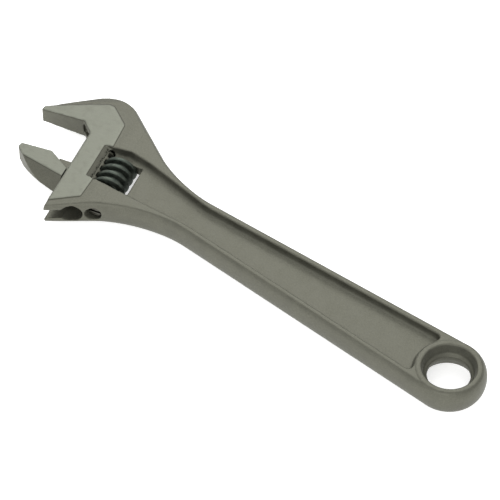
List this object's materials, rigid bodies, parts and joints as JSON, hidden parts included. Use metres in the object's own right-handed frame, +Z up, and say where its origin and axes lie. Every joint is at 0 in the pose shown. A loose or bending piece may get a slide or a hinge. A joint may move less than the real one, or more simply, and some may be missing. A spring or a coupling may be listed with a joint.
{
  "type": "adjustable wrench",
  "caption": "Adjustable wrench with a fixed jaw in line with a forged handle, a sliding jaw on a round rack, a knurled worm and a hang hole.",
  "frame": {"origin": "centre of the bounding box's bottom face, with the wrench lying flat", "axes": "+X along the handle from the jaws to the hang hole, +Y towards the fixed jaw's side, +Z up"},
  "size_m": [0.208, 0.0604, 0.0128],
  "materials": {
    "phosphated_forging": "phosphated drop-forged steel, fine matt grain, jaw and neck faces ground",
    "ground_steel": "ground flat faces on a phosphated forging",
    "black_oxide": "oiled black oxide over a machined knurl",
    "turned_steel": "turned and oiled",
    "spring_wire": "drawn spring wire"
  },
  "bodies": {
    "wrench": {"body": "phosphated_forging", "worm_pin": "turned_steel", "worm_spring": "spring_wire"},
    "jaw": {"sliding_jaw": "ground_steel"},
    "knurl": {"worm": "black_oxide"}
  },
  "joints": [
    {"name": "jaw_slide", "type": "slide", "parent": "wrench", "child": "jaw", "axis": [0.2588, -0.9659, 0], "range_m": [-0.0181, 0.0087]},
    {"name": "worm_turn", "type": "hinge", "parent": "wrench", "child": "knurl", "pos_m": [-0.06115, -0.00049, 0.0064], "axis": [0.2588, -0.9659, 0], "range_deg": [-897, 1864]}
  ],
  "couplings": [
    {"joint": "worm_turn", "follows": "jaw_slide", "rad_per_m": -1795.2}
  ]
}
